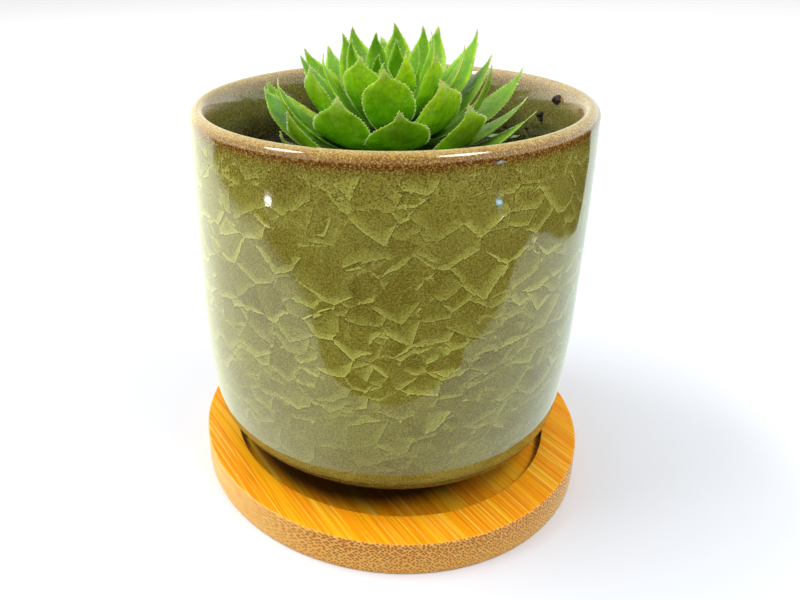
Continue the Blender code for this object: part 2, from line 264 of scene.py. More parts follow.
class Signal:
    """An output of a node; its operators and calls add nodes that carry on from it."""

    __add__ = arithmetic("ADD")
    __sub__ = arithmetic("SUBTRACT")
    __rsub__ = arithmetic("SUBTRACT", swapped=True)
    __mul__ = arithmetic("MULTIPLY")
    __truediv__ = arithmetic("DIVIDE")
    __rtruediv__ = arithmetic("DIVIDE", swapped=True)
    __pow__ = arithmetic("POWER")
    __abs__ = arithmetic("ABSOLUTE")

    def __init__(self, graph, socket):
        self.graph = graph
        self.socket = socket

    def vector(self, operation, other=(0.0, 0.0, 0.0)):
        """One vector step; scaling takes its factor as other, dot and length give a value."""
        made = self.graph.node("ShaderNodeVectorMath", {0: self}, operation=operation)
        self.graph.put(made.inputs["Scale" if operation == "SCALE" else 1], other)
        key = "Value" if operation in ("DOT_PRODUCT", "LENGTH") else 0
        return Signal(self.graph, made.outputs[key])

    def parts(self, kind="XYZ"):
        """The three numbers of a vector, or of a Color."""
        return self.graph.outputs(f"ShaderNodeSeparate{kind}", {0: self}).values()

    def mapped(self, rotation=(0, 0, 0), scale=(1, 1, 1)):
        """Turned and stretched coordinates."""
        return self.graph.out("ShaderNodeMapping",
                              {"Vector": self, "Rotation": rotation, "Scale": scale})

    def noise(self, scale, detail=2.0, rough=0.5, key=0):
        """A noise texture at these coordinates."""
        return self.graph.out("ShaderNodeTexNoise", {"Vector": self, "Scale": scale,
                                                     "Detail": detail, "Roughness": rough}, key)

    def cells(self, scale, feature="F1", scatter=1.0, dimensions="3D"):
        """Every output of a Voronoi texture at these coordinates."""
        return self.graph.outputs("ShaderNodeTexVoronoi",
                                  {"Vector": self, "Scale": scale, "Randomness": scatter},
                                  feature=feature, voronoi_dimensions=dimensions)

    def step(self, low, high, start=0.0, end=1.0):
        """Smooth step from start to end while the value goes from low to high."""
        return self.graph.out("ShaderNodeMapRange",
                              {"Value": self, "From Min": low, "From Max": high,
                               "To Min": start, "To Max": end},
                              interpolation_type="SMOOTHSTEP")

    def ramp(self, *stops):
        """Colour ramp from (place, colour) stops."""
        made = self.graph.node("ShaderNodeValToRGB", {0: self})
        points = made.color_ramp.elements
        while len(points) < len(stops):
            points.new(1.0)
        for point, (place, colour) in zip(points, stops):
            point.position = place
            point.color = (*colour, 1.0)
        return Signal(self.graph, made.outputs[0])

    def bump(self, distance, strength=1.0):
        """Normal of this height, in metres times distance."""
        return self.graph.out("ShaderNodeBump", {"Height": self, "Distance": distance,
                                                 "Strength": strength})


class Graph:
    """A node tree that is wired while its nodes are made."""

    def __init__(self, tree):
        self.tree = tree

    def put(self, socket, value):
        """Link a signal into a socket, or set the socket's own value."""
        if isinstance(value, Signal):
            self.tree.links.new(value.socket, socket)
        elif socket.type == "RGBA":
            socket.default_value = (*value, 1.0)
        else:
            socket.default_value = value

    def fill(self, node, inputs):
        """Link or set inputs of a node, by name or number."""
        for key, value in inputs.items():
            self.put(node.inputs[key], value)

    def node(self, kind, inputs, **settings):
        """A node of a kind, its settings and its inputs."""
        made = self.tree.nodes.new(kind)
        for key, value in settings.items():
            setattr(made, key, value)
        self.fill(made, inputs)
        return made

    def out(self, kind, inputs, key=0, **settings):
        """One output of a new node, by name or number."""
        return Signal(self, self.node(kind, inputs, **settings).outputs[key])

    def outputs(self, kind, inputs, **settings):
        """Every output of a new node, by name."""
        made = self.node(kind, inputs, **settings)
        return {socket.name: Signal(self, socket) for socket in made.outputs}

    def place(self, key="Object"):
        """Texture coordinates."""
        return self.out("ShaderNodeTexCoord", {}, key)

    def attribute(self, name, key):
        """An attribute of the mesh."""
        return self.out("ShaderNodeAttribute", {}, key, attribute_name=name,
                        attribute_type="GEOMETRY")

    def math(self, operation, a, b=0.0, clamp=False):
        """One arithmetic step."""
        return self.out("ShaderNodeMath", {0: a, 1: b}, operation=operation, use_clamp=clamp)

    def mix(self, share, a, b):
        """Blend of two colours."""
        return self.out("ShaderNodeMix", {0: share, 6: a, 7: b}, 2, data_type="RGBA")

    def coats(self, colour, *layers):
        """Lay colours over the first one, each by its share."""
        for share, over in layers:
            colour = self.mix(share, colour, over)
        return colour

    def mottled(self, place, colour, patch_scale, patch, speck_scale, speck):
        """A colour with soft patches and fine specks over it."""
        return self.outputs("ShaderNodeGroup",
                            {"Vector": place, "Colour": colour, "Patch Scale": patch_scale,
                             "Patch": patch, "Speck Scale": speck_scale, "Speck": speck},
                            node_tree=shared_group("mottle", mottle_group))["Colour"]

    def shade(self, inputs):
        """Link or set inputs of the material's shader."""
        self.fill(self.tree.nodes["Principled BSDF"], inputs)


def new_material(name):
    """An empty node material and its graph."""
    made = bpy.data.materials.new(name)
    made.use_nodes = True
    return made, Graph(made.node_tree)


def shared_group(name, build):
    """A node group that is built once, at its first use."""
    return bpy.data.node_groups.get(name) or build(name)


def new_group(name, inputs, outputs):
    """A shader node group: its graph, its inputs by name and its output node."""
    tree = bpy.data.node_groups.new(name, "ShaderNodeTree")
    for direction, sockets in (("INPUT", inputs), ("OUTPUT", outputs)):
        for label, kind, *default in sockets:
            socket = tree.interface.new_socket(label, in_out=direction,
                                               socket_type=f"NodeSocket{kind}")
            if default:
                socket.default_value = default[0]
    graph = Graph(tree)
    return graph, graph.outputs("NodeGroupInput", {}), graph.node("NodeGroupOutput", {})


def mottle_group(name):
    """Patches and specks of lighter and darker colour over any finish."""
    graph, given, result = new_group(
        name,
        [("Vector", "Vector"), ("Colour", "Color"), ("Patch Scale", "Float", 100.0),
         ("Patch", "Float", 0.15), ("Speck Scale", "Float", 2000.0), ("Speck", "Float", 0.1)],
        [("Colour", "Color")])
    patch = given["Vector"].noise(given["Patch Scale"], 3.0)
    speck = given["Vector"].noise(given["Speck Scale"], 2.0, 0.7)
    gain = (patch - 0.5) * given["Patch"] + (speck - 0.5) * given["Speck"] + 1.0
    graph.fill(result, {"Colour": given["Colour"].vector("SCALE", gain)})
    return graph.tree


# Shape helpers --------------------------------------------

def arc(centre, radius, start, end, count):
    """Points of an arc in the (r, z) plane; angles in degrees from +r towards +z."""
    angles = [math.radians(start + (end - start) * k / count) for k in range(count + 1)]
    return [(centre[0] + radius * math.cos(a), centre[1] + radius * math.sin(a))
            for a in angles]


def bezier(ends, handles, t):
    """Point of a cubic curve in a plane."""
    weights = ((1 - t) ** 3, 3 * t * (1 - t) ** 2, 3 * t * t * (1 - t), t ** 3)
    spots = (ends[0], handles[0], handles[1], ends[1])
    return tuple(sum(w * p[axis] for w, p in zip(weights, spots)) for axis in (0, 1))


def through(values, t):
    """Smooth curve through equally spaced values, with t from 0 to 1 along them."""
    last = len(values) - 1
    place = min(max(t * last, 0.0), last - 1e-9)
    k = int(place)
    f = place - k
    before, a, b, after = (values[min(max(k + n, 0), last)] for n in (-1, 0, 1, 2))
    return 0.5 * (2 * a + (b - before) * f + (2 * before - 5 * a + 4 * b - after) * f * f
                  + (3 * a - before - 3 * b + after) * f ** 3)


def turned(profile, steps, closed=False):
    """Spin an (r, z) profile about the Z axis into a closed skin facing outwards."""
    bm = bmesh.new()
    verts = [bm.verts.new((r, 0.0, z)) for r, z in profile]
    ends = verts[1:] + verts[:1] if closed else verts[1:]
    edges = [bm.edges.new(pair) for pair in zip(verts, ends)]
    bmesh.ops.spin(bm, geom=verts + edges, cent=(0, 0, 0), axis=(0, 0, 1),
                   angle=math.tau, steps=steps, use_merge=True)
    bmesh.ops.remove_doubles(bm, verts=bm.verts, dist=0.002 * MM)
    bmesh.ops.recalc_face_normals(bm, faces=bm.faces)
    return bm


def new_object(bm, name, materials):
    """Put a bmesh in the scene as an object with its materials."""
    mesh = bpy.data.meshes.new(name)
    bm.to_mesh(mesh)
    bm.free()
    for look in materials:
        mesh.materials.append(look)
    made = bpy.data.objects.new(name, mesh)
    bpy.context.scene.collection.objects.link(made)
    return made


def add_piece(bm, name, materials, nodes):
    """Make a finished piece of a bmesh: it rides on the root and stands for its nodes."""
    piece = new_object(bm, name, materials)
    piece.data.shade_smooth()
    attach(piece, "root")
    if nodes:
        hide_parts(*nodes)


# Pot ------------------------------------------------------

def pot_outside():
    """The pot's outer side, from the top of the lip down to the foot."""
    lip = arc((LIP_R - LIP_BEAD, POT_TOP - LIP_BEAD), LIP_BEAD, 90, 0, 14)
    lip_foot = (GROOVE_R, POT_TOP - LIP_FOOT)
    lip += [bezier((lip[-1], lip_foot), ((LIP_R, lip[-1][1] - 0.5 * MM),
                                        (GROOVE_R, lip_foot[1] + 0.5 * MM)), k / 6)
            for k in range(1, 7)]
    side = []
    for k in range(1, 15):
        t = k / 14
        swell = NECK_R + (POT_R - NECK_R) * t * t + NECK_SWELL * math.sin(math.pi * t)
        side.append((swell - (NECK_R - GROOVE_R) * (1.0 - t) ** 8,
                     lip_foot[1] + (TAPER_Z - lip_foot[1]) * t))
    side += [(POT_R - CORNER_IN * (k / 16) ** 2.6, TAPER_Z + (CORNER_Z - TAPER_Z) * k / 16)
             for k in range(1, 17)]
    lean = math.radians(CORNER_LEAN)
    centre = (side[-1][0] - CORNER_R * math.cos(lean), CORNER_Z + CORNER_R * math.sin(lean))
    corner = arc(centre, CORNER_R, -CORNER_LEAN, -90, 24)[1:]
    base_z = corner[-1][1]
    foot = [(FOOT_R + 0.4 * MM, base_z), (FOOT_R, base_z - 0.4 * MM)]
    foot += arc((FOOT_R - 0.3 * MM, FOOT_Z + 0.3 * MM), 0.3 * MM, 0, -90, 3)
    return lip + side + corner + foot


def pot_inside():
    """The inner side, from the drain hole up to the top of the lip."""
    inner = POT_R - WALL
    corner = arc((inner - FLOOR_ROUND, FLOOR_TOP + FLOOR_ROUND), FLOOR_ROUND, -90, 0, 12)
    flare = POT_TOP - LIP_FLARE
    wall = [(inner, FLOOR_TOP + FLOOR_ROUND + (flare - FLOOR_TOP - FLOOR_ROUND) * k / 14)
            for k in range(1, 15)]
    crest = (LIP_R - LIP_BEAD, POT_TOP)
    lip = [bezier((wall[-1], crest), ((inner, flare + 0.2 * LIP_FLARE),
                                      (crest[0] - 2.2 * MM, POT_TOP)), k / 20)
           for k in range(1, 20)]
    return [(DRAIN_R, FLOOR_TOP)] + corner + wall + lip


def shard_group(name):
    """One layer of glaze shards: their lit lower edges, the shade that they drop on what
    lies under them, and which places they cover."""
    graph, given, result = new_group(
        name,
        [("Vector", "Vector"), ("Size", "Float", 0.008), ("Seed", "Vector"),
         ("Share", "Float", 0.5)],
        [("Lit", "Float"), ("Shade", "Float"), ("Cover", "Float"), ("Tone", "Float")])
    size, share = given["Size"], given["Share"]
    place = given["Vector"].vector("ADD", given["Seed"])
    bent = place
    for stray, amount in ((place.cells(2.6 / size)["Color"], 0.07),
                          (place.noise(75.0, 1.0, key="Color"), 0.22)):
        shift = stray.vector("SUBTRACT", (0.5, 0.5, 0.5)).vector("SCALE", size * amount)
        bent = bent.vector("ADD", shift)
    bent = bent.vector("MULTIPLY", (1.0, 1.0, 1.15))
    scale = 1.0 / size
    own, near = bent.cells(scale), bent.cells(scale, "F2")
    edge = bent.cells(scale, "DISTANCE_TO_EDGE")["Distance"]
    apart = own["Position"].vector("SUBTRACT", near["Position"]).vector("NORMALIZE")
    above = apart.vector("DOT_PRODUCT", (-0.25, 0.0, 0.97))
    own_lot, bright, tone = own["Color"].parts("Color")
    near_lot, *_ = near["Color"].parts("Color")
    rim = edge.step(0.050, 0.008) * 0.46 + edge.step(0.38, 0.0) ** 1.3 * 0.74
    graph.fill(result, {
        "Lit": rim * above.step(-0.10, 0.55) * bright.step(0.0, 1.0, 0.45, 1.0),
        "Shade": (edge.step(0.055, 0.0) * above.step(0.2, -0.4)
                  * graph.math("LESS_THAN", near_lot, share)),
        "Cover": graph.math("LESS_THAN", own_lot, share),
        "Tone": tone})
    return graph.tree


def glaze_shards(graph, place, size):
    """Three layers of shards, each lying over the next: lit, shade and tone."""
    group = shared_group("glaze_shards", shard_group)
    first, second, third = (
        graph.outputs("ShaderNodeGroup", {"Vector": place, "Size": size * part, "Seed": seed,
                                          "Share": share}, node_tree=group)
        for part, seed, share in ((1.0, (0.0131, 0.0057, 0.0213), 0.50),
                                  (0.82, (0.0417, 0.0221, 0.0079), 0.60),
                                  (0.66, (0.0689, 0.0347, 0.0305), 1.1)))

    def topmost(key):
        low = graph.out("ShaderNodeMix", {0: second["Cover"], 2: third[key], 3: second[key]})
        return graph.out("ShaderNodeMix", {0: first["Cover"], 2: low, 3: first[key]})

    shade = graph.math("ADD", first["Shade"], second["Shade"] * (1.0 - first["Cover"]),
                       clamp=True)
    return topmost("Lit"), shade, topmost("Tone")


def glaze_material(settings):
    """Olive crackle glaze with a speckled brown lip and a crest whose pale tone is partly
    painted reflection; painted light makes the body paler near the top and painted shade darkens
    it deep inside.
    """
    made, graph = new_material("crackle_glaze")
    place = graph.place()
    x, y, height = place.vector("SUBTRACT", (POT_X, POT_Y, 0.0)).parts()
    radius = graph.out("ShaderNodeCombineXYZ", {0: x, 1: y}).vector("LENGTH")
    depth = POT_TOP - height
    outside = radius.step(LIP_R - 2.6 * MM, LIP_R - 1.4 * MM)

    lit, shade, tone = glaze_shards(graph, place, settings.crackle_size)
    fade = (depth.step(2.7 * MM, 4.4 * MM, 0.25, 1.0)
            * height.step(15.0 * MM, 36.0 * MM, 0.25, 1.0)
            * place.noise(42.0).step(0.32, 0.58, 0.62, 1.0))
    lit = graph.math("MULTIPLY", lit, fade, clamp=True)
    shade = graph.math("MULTIPLY", shade, fade, clamp=True)

    body = graph.coats(settings.glaze,
                       (place.noise(70.0, 3.0).step(0.35, 0.65), tint(125, 116, 37)),
                       (tone * 0.36, tint(166, 164, 76)),
                       # lighter towards the top: painted light from above
                       (depth.step(30.0 * MM, 4.0 * MM, 0.0, 0.14), tint(180, 174, 84)),
                       (height.step(17.0 * MM, 12.0 * MM, 0.0, 0.85), tint(118, 158, 86)),
                       (lit, settings.crack),
                       (shade * 0.75, tint(70, 62, 16)))
    inner = graph.coats(tint(130, 134, 74),
                        # darker and greener deeper inside: painted shade down towards the soil
                        (depth.step(5.0 * MM, 12.5 * MM), tint(24, 44, 18)),
                        (place.noise(110.0, 3.0).step(0.45, 0.62, 0.0, 0.30), tint(96, 94, 48)),
                        (lit * 0.7, tint(150, 150, 88)))

    ragged = (place.noise(1500.0, 3.0, 0.7) - 0.5) * (2.0 * MM)
    wavy = (place.noise(120.0) - 0.5) * (1.1 * MM)
    level = depth + (ragged + wavy)
    share = level / (8.0 * MM)
    # The pale tones at the crest, outside and in, are partly painted reflection of white; the
    # bands below are the lip's own speckled browns.
    lip_out = share.ramp((0.0, tint(182, 156, 100)), (0.05, tint(166, 130, 62)),
                         (0.11, settings.lip), (0.17, tint(158, 108, 46)),
                         (0.225, tint(118, 62, 22)), (0.26, tint(120, 80, 32)),
                         (0.36, tint(134, 118, 44)), (0.65, tint(148, 140, 56)))
    lip_in = share.ramp((0.0, tint(192, 170, 132)), (0.08, tint(176, 150, 114)),
                        (0.22, tint(152, 126, 88)), (0.34, tint(136, 122, 76)),
                        (0.46, tint(116, 116, 58)))
    band = (level - outside.step(0.0, 1.0, 6.0 * MM, 3.0 * MM)).step(1.6 * MM, -0.4 * MM)
    grain = place.noise(3600.0, 2.0, 0.6)
    gold = grain.step(0.50, 0.68) * depth.step(2.2 * MM, 4.0 * MM, 0.72, 0.42)
    rust = (grain.step(0.50, 0.33) * depth.step(0.4 * MM, 2.4 * MM, 0.55, 0.80)
            * depth.step(6.0 * MM, 11.0 * MM, 1.0, 0.6))
    colour = graph.coats(graph.mix(outside, inner, body),
                         (band, graph.mix(outside, lip_in, lip_out)),
                         (height.step(9.2 * MM, 8.6 * MM), tint(70, 52, 30)),
                         (gold, tint(214, 186, 92)),
                         (rust, tint(84, 50, 16)))
    skin = (place.noise(200.0, 1.0) * 0.50 + lit * 0.20
            + grain * depth.step(3.5 * MM, 5.5 * MM, 0.07, 0.012))
    graph.shade({"Base Color": graph.mottled(place, colour, 45.0, 0.30, 3400.0,
                                             height.step(16.0 * MM, 50.0 * MM, 0.4, 0.9)),
                 "Roughness": place.noise(160.0).step(0.3, 0.8, 0.04, 0.10),
                 "IOR": 1.5,
                 "Normal": skin.bump(0.12 * MM, 0.5)})
    return made


class HOUSELEEK_OT_pot(Operator):
    """Turn the pot and give it its crackle glaze"""

    bl_idname = "houseleek.pot"
    bl_label = "Pot"

    def execute(self, context):
        settings = context.scene.houseleek_pot
        foot_inner = FOOT_R - FOOT_WIDTH
        under = [(foot_inner + 0.3 * MM, FOOT_Z), (foot_inner, FOOT_Z + 0.3 * MM),
                 (foot_inner - 0.3 * MM, UNDER_Z), (DRAIN_R, UNDER_Z)]
        bm = turned(pot_outside() + under + pot_inside(), settings.segments, closed=True)
        for vert in bm.verts:
            stray = noise.noise(vert.co * 28.0) * settings.wobble
            out = Vector((vert.co.x, vert.co.y, 0.0)).normalized()
            vert.co += out * stray
        bmesh.ops.translate(bm, verts=bm.verts, vec=(POT_X, POT_Y, 0.0))
        add_piece(bm, "glazed_pot", [glaze_material(settings)], ["pot"])
        return {"FINISHED"}


# Soil -----------------------------------------------------

def soil_material(settings):
    """Dark damp soil with a crumbly skin."""
    made, graph = new_material("potting_soil")
    place = graph.place()
    lumps = place.noise(700.0, 4.0, 0.7)
    colour = lumps.ramp((0.30, tint(22, 16, 12)), (0.52, settings.earth),
                        (0.66, tint(84, 62, 42)), (0.78, tint(120, 92, 62)))
    graph.shade({"Base Color": graph.mottled(place, colour, 160.0, 0.8, 2500.0, 0.8),
                 "Roughness": 0.85,
                 "Normal": lumps.bump(0.8 * MM, 0.9)})
    return made


def soil_height(x, y, swell):
    """Height of the soil's surface over a place inside the pot."""
    where = Vector((x, y, 0.0))
    lump = noise.fractal(where * 140.0, 1.0, 2.0, 4)
    return SOIL_Z + swell * lump + 0.35 * MM * noise.noise(where * 700.0)


def add_crumb(bm, place, size, turn, finer=False):
    """One rough crumb: a small dented ball."""
    made = bmesh.ops.create_icosphere(bm, subdivisions=2 if finer else 1, radius=size)
    seed = place * 4000.0
    for vert in made["verts"]:
        vert.co *= 0.85 + 0.5 * noise.noise(vert.co * 900.0 + seed)
    bmesh.ops.rotate(bm, verts=made["verts"], cent=(0, 0, 0),
                     matrix=Euler((turn, turn * 2.3, turn * 3.1)).to_matrix())
    bmesh.ops.scale(bm, verts=made["verts"], vec=(1.0, 0.85, 0.7))
    bmesh.ops.translate(bm, verts=made["verts"], vec=place)


def wall_spot(angle, below_lip):
    """A place just off the inside of the pot's wall."""
    height = POT_TOP - below_lip
    r = min(pot_inside(), key=lambda spot: abs(spot[1] - height))[0] - 0.2 * MM
    return Vector((POT_X + r * math.cos(angle), POT_Y + r * math.sin(angle), height))


class HOUSELEEK_OT_soil(Operator):
    """Fill the pot with soil and scatter its crumbs"""

    bl_idname = "houseleek.soil"
    bl_label = "Soil"

    def execute(self, context):
        settings = context.scene.houseleek_soil
        look = soil_material(settings)
        profile = [(FILL_R * k / 60, SOIL_Z) for k in range(61)]
        bottom = FLOOR_TOP + 0.3 * MM
        profile += arc((FILL_R - FLOOR_ROUND, bottom + FLOOR_ROUND), FLOOR_ROUND, 0, -90, 8)
        profile += [(0.0, bottom)]
        bm = turned(profile, 120)
        for vert in bm.verts:
            if vert.co.z > SOIL_Z - 0.01 * MM:
                vert.co.z = soil_height(vert.co.x, vert.co.y, settings.roughness)
        bmesh.ops.translate(bm, verts=bm.verts, vec=(POT_X, POT_Y, 0.0))
        add_piece(bm, "soil_fill", [look], ["potting_soil"])

        rng = random.Random(CRUMB_SEED)
        bm = bmesh.new()
        for _ in range(settings.crumbs):
            r = (FILL_R - 1.2 * MM) * math.sqrt(rng.uniform(0.05, 1.0))
            angle = rng.uniform(0.0, math.tau)
            x, y = r * math.cos(angle), r * math.sin(angle)
            size = rng.uniform(0.25, 0.75) * MM
            z = soil_height(x, y, settings.roughness) + size * 0.2
            add_crumb(bm, Vector((POT_X + x, POT_Y + y, z)), size, rng.uniform(0, 6))
        for angle, below, size in WALL_CRUMBS:
            add_crumb(bm, wall_spot(math.radians(angle), below * MM), size * MM, angle, True)
        add_piece(bm, "soil_crumbs", [look], [])
        return {"FINISHED"}


# Rosette --------------------------------------------------

def leaf_start(share):
    """Where a leaf leaves the stem: its radius and height, from 0, innermost, to 1."""
    inner_r, outer_r = CROWN_BASE_R
    inner_z, outer_z = CROWN_BASE_Z
    return (inner_r + (outer_r - inner_r) * share ** 0.6,
            inner_z + (outer_z - inner_z) * share ** 0.8)


def leaf_form(number):
    """Middle line and size of one leaf: ends, handles, half width and half thickness."""
    share = number / (LEAF_COUNT - 1)
    age = math.sqrt(share)
    turn, reach, rise = OFF_SPIRAL.get(number, (0.0, 0.0, 0.0))
    start = leaf_start(share)
    tip = ((through(TIP_REACH, age) + reach) * MM, (through(TIP_HEIGHT, age) + rise) * MM)
    length = math.dist(start, tip)
    slope = math.atan2(tip[1] - start[1], tip[0] - start[0])
    bowl = BOWL + (DEEP_BOWL if number in DEEP else 0.0)
    handles = tuple((end[0] + arm * length * math.cos(angle),
                     end[1] + arm * length * math.sin(angle))
                    for end, arm, angle in ((start, 0.38, slope - bowl),
                                            (tip, -0.36, slope + bowl)))
    azimuth = TURN_START + number * TURN_STEP + math.radians(turn)
    return {"ends": (start, tip), "handles": handles, "azimuth": azimuth, "length": length,
            "age": age, "width": through(HALF_WIDTH, age) * WIDTH_SHARE.get(number, 1.0) * MM,
            "outline": (FULL_OUTLINE if number in FULL
                        else BROAD_OUTLINE if number in BROAD else LEAF_OUTLINE),
            "thick": through(HALF_THICK, age) * MM, "sweep": SWEEP.get(number, 0.0) * MM,
            **leaf_habit(number)}


def leaf_habit(seed):
    """How one leaf differs from the next: ripple of its margin, curl and sway of its tip."""
    rng = random.Random(seed + HABIT_SEED)
    return {"phase": rng.uniform(0.0, math.tau), "ripple": rng.uniform(0.2, 1.4) * MM,
            "curl": rng.uniform(-0.2, 0.9) * MM, "sway": rng.uniform(-0.7, 0.7) * MM}


def leaf_thickness(s):
    """Share of the half thickness at a place along the leaf."""
    return (0.75 + 0.25 * math.sin(math.pi * min(1.0, s / 0.9))) * (1.0 - s ** 4) ** 0.8


def leaf_point(form, s, round_angle):
    """A point of the leaf's skin, s along it and round_angle round its section."""
    r, z = bezier(form["ends"], form["handles"], s)
    ahead = bezier(form["ends"], form["handles"], min(s + 0.01, 1.0))
    behind = bezier(form["ends"], form["handles"], max(s - 0.01, 0.0))
    along = math.atan2(ahead[1] - behind[1], ahead[0] - behind[0])
    edge = math.sin(round_angle)
    rise = math.copysign(abs(edge) ** 1.25, edge) * form["thick"] * leaf_thickness(s)
    if rise > 0.0:
        rise *= UPPER_SHARE
    side = math.cos(round_angle)
    across = side * form["width"] * through(form["outline"], s)
    ripple = form["ripple"] * (s * (1.0 - s)) * side * math.sin(9.0 * s + form["phase"])
    hook = max(0.0, (s - HOOK_START) / HOOK_LENGTH) ** 2
    rise += ripple + hook * form["curl"]
    r -= rise * math.sin(along)
    z += rise * math.cos(along)
    bend = max(r, TIGHTEST) * FLATTEN
    across += form["sweep"] * SWEEP_PEAK * s * (1.0 - s) ** 2
    angle = (across + hook * form["sway"]) / bend
    return Vector((r - bend * (1.0 - math.cos(angle)), bend * math.sin(angle), z))


def leaf_station(k, rings):
    """Rings gather towards the base and the point."""
    share = k / rings
    return 0.35 * share + 0.65 * (0.5 - 0.5 * math.cos(math.pi * share))


def leaf_skin(form, rings, sides, tone):
    """A sphere drawn out into a leaf, with its own map and tone attribute."""
    bm = bmesh.new()
    bmesh.ops.create_uvsphere(bm, u_segments=sides, v_segments=rings, radius=1.0)
    paint = bm.verts.layers.float_color.new("leaf_tone")
    chart = bm.loops.layers.uv.new("UVMap")
    spots = {}
    for vert in bm.verts:
        ring = round(math.acos(max(-1.0, min(1.0, -vert.co.z))) / math.pi * rings)
        s = leaf_station(ring, rings)
        angle = math.atan2(vert.co.y, vert.co.x)
        at_end = ring in (0, rings)
        spots[vert] = (0.5 if at_end else 0.5 + 0.5 * math.cos(angle), s)
        upper = 0.5 if at_end else 0.5 + 0.5 * math.sin(angle)
        vert.co = leaf_point(form, s, math.pi / 2 if at_end else angle)
        vert[paint] = (form["age"], tone, upper, 1.0)
    for face in bm.faces:
        for loop in face.loops:
            loop[chart].uv = spots[loop.vert]
    return bm, paint


def add_hairs(bm, paint, form, settings, rng, tone):
    """A fringe of short pale hairs along both margins."""
    count = int(form["length"] * 0.86 / settings.hair_gap)
    for side in (0.0, math.pi):
        for k in range(count):
            s = 0.13 + 0.85 * (k + rng.uniform(0.1, 0.9)) / count
            root = leaf_point(form, s, side)
            ahead = (leaf_point(form, min(s + 0.02, 1.0), side) - root).normalized()
            out = (root - leaf_point(form, s, math.pi / 2)).normalized()
            aim = (out + ahead * rng.uniform(0.3, 0.9)
                   + Vector((0, 0, rng.uniform(-0.2, 0.35)))).normalized()
            reach = settings.hair_length * rng.uniform(0.6, 1.1) * (0.5 + 0.5 * form["age"])
            turn = aim.to_track_quat("Z", "Y").to_matrix().to_4x4()
            place = Matrix.Translation(root + aim * (reach * 0.42)) @ turn
            made = bmesh.ops.create_cone(bm, cap_ends=True, segments=3, radius1=HAIR_R,
                                         radius2=0.0, depth=reach, matrix=place)
            for vert in made["verts"]:
                vert[paint] = (form["age"], tone, 0.5, 1.0)
                for face in vert.link_faces:
                    face.material_index = 1


def to_world(bm, azimuth):
    """Turn a leaf to its place round the leaning crown."""
    crown = Matrix.Translation(CROWN) @ Euler(CROWN_LEAN).to_matrix().to_4x4()
    bmesh.ops.transform(bm, matrix=crown @ Matrix.Rotation(azimuth, 4, "Z"), verts=bm.verts)


def leaf_material(settings):
    """Waxy green blade: darker at its base, where the shade between leaves is painted, paler
    along its margin and tip, partly a painted glow, with water marks that also stand for painted
    sheen, frost, dry points and a soft bloom below."""
    made, graph = new_material("leaf_skin")
    place = graph.place()
    chart = graph.out("ShaderNodeUVMap", {}, uv_map="UVMap")
    across, along, _ = chart.parts()
    age, own, upper = graph.attribute("leaf_tone", "Color").parts("Color")
    middle = abs(across - 0.5)

    patches = place.noise(230.0, 3.0, 0.6)
    # pale water marks, which also stand in for painted sheen on the upper part of the leaf
    water_marks_and_sheen = (place.noise(330.0, 3.0, 0.6).step(0.54, 0.66)
              * along.step(0.3, 0.6, 0.1, 0.45))
    # paler towards the tip and margin: partly the young colour, partly a painted glow of light
    # through the thin margin
    fresh_and_glow = graph.math("ADD", along.step(0.55, 0.95, 0.0, 0.5),
                       middle.step(0.26, 0.48, 0.0, 0.35), clamp=True)
    streaks = chart.mapped(scale=(26.0, 2.2, 1.0)).noise(1.0, 3.0, 0.6)
    # painted shade in the hollow middle of each leaf's upper face
    hollow_shade = upper.step(0.55, 0.95, 0.0, 0.65) * middle.step(0.46, 0.28)
    frost = place.noise(520.0, 4.0, 0.66).step(0.45, 0.64)
    bloom = (frost * upper.step(0.55, 0.30, 0.15, 0.45) * along.step(0.35, 0.85, 0.2, 1.0)
             * own.step(0.1, 0.6, 0.35, 1.0))
    dusty = own.step(0.12, 0.02) * frost.step(0.0, 1.0, 0.35, 0.85)
    rim = middle + (place.noise(1500.0) - 0.5) * 0.02
    dry = along.step(0.925, 0.985) * own.step(0.55, 0.95, 0.0, 0.9)
    fleck = place.noise(900.0).step(0.64, 0.72) * middle.step(0.34, 0.47, 0.0, 0.45)
    blade = graph.coats(settings.blade,
                        # lighter or darker by each leaf's tone, which for the leaves set one by
                        # one is partly painted light and shade
                        (own.step(0.4, 0.95), tint(204, 234, 22)),
                        (own.step(0.55, 0.10, 0.0, 0.8), tint(108, 168, 0)),
                        (patches.step(0.42, 0.62, 0.0, 0.60), tint(116, 180, 2)),
                        (water_marks_and_sheen, tint(190, 218, 110)),
                        # darker towards the base: painted shade where the leaves overlap
                        (along.step(0.72, 0.28, 0.0, 0.85), tint(82, 144, 2)),
                        (along.step(0.46, 0.12, 0.0, 0.95), tint(34, 78, 0)),
                        (fresh_and_glow * own.step(0.1, 0.6, 0.5, 1.0), settings.young),
                        (age.step(0.5, 0.1, 0.0, 0.35), settings.young),
                        (streaks.step(0.42, 0.68, 0.0, 0.35), tint(110, 172, 4)),
                        (hollow_shade, tint(84, 146, 6)),
                        (bloom, tint(170, 212, 76)),
                        (dusty, tint(136, 170, 64)),
                        (rim.step(0.480, 0.499) * 0.8, tint(214, 228, 120)),
                        (along.step(0.90, 0.98, 0.0, 0.6), tint(220, 226, 150)),
                        (dry, tint(196, 160, 100)),
                        (fleck, tint(172, 160, 40)))
    height = streaks * 1.4 + place.noise(2200.0) + place.noise(420.0) * 3.0
    graph.shade({"Base Color": graph.mottled(place, blade, 300.0, 0.95, 1500.0, 0.8),
                 "Roughness": place.noise(300.0).step(0.35, 0.65, 0.24, 0.50),
                 "Subsurface Weight": 0.18,
                 "Subsurface Radius": (0.6, 1.0, 0.08),
                 "Subsurface Scale": 1.4 * MM,
                 "Specular IOR Level": 0.22,
                 "Normal": height.bump(0.12 * MM, 0.5)})
    return made


